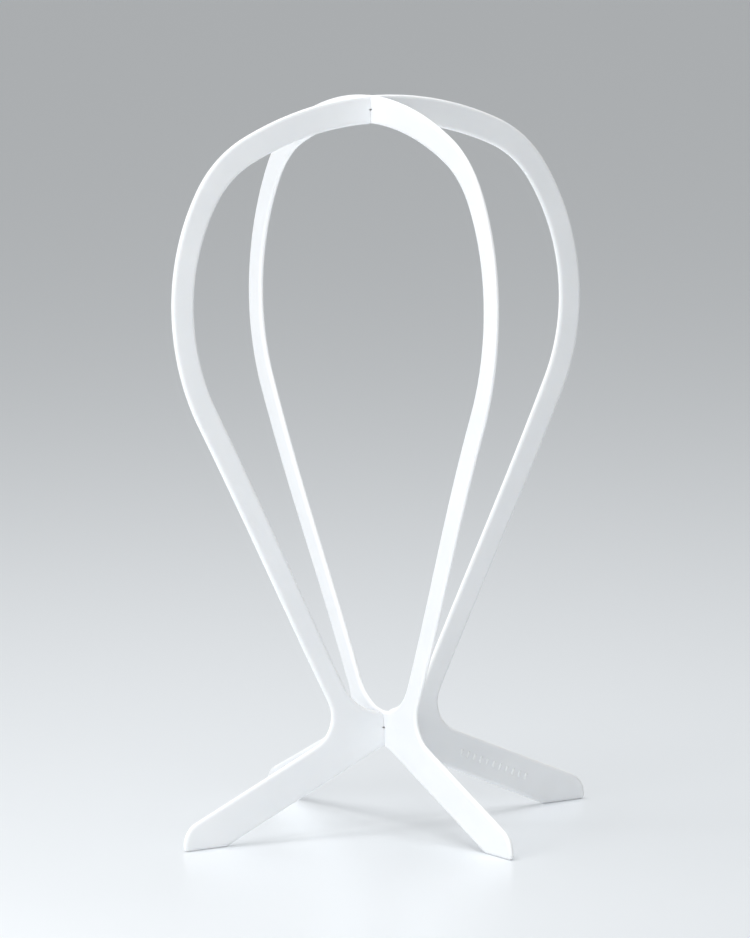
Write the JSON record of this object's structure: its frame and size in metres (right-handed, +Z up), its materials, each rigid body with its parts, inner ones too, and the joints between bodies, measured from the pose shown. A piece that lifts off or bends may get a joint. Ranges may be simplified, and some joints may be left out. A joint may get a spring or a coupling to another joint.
{
  "type": "headphone stand",
  "caption": "Free-standing white plastic stand: thin balloon-shaped frames that cross and lock at half-laps, on splayed legs with flat feet.",
  "frame": {"origin": "on the resting plane, under the line where the frames cross", "axes": "+Z up along the line where the frames cross, X across the outer frame, Y across the inner frame"},
  "size_m": [0.2064, 0.2064, 0.32],
  "materials": {
    "white_plastic": "smooth satin moulded plastic, cool white"
  },
  "bodies": {
    "root": {"outer_frame": "white_plastic", "inner_frame": "white_plastic"}
  },
  "joints": []
}
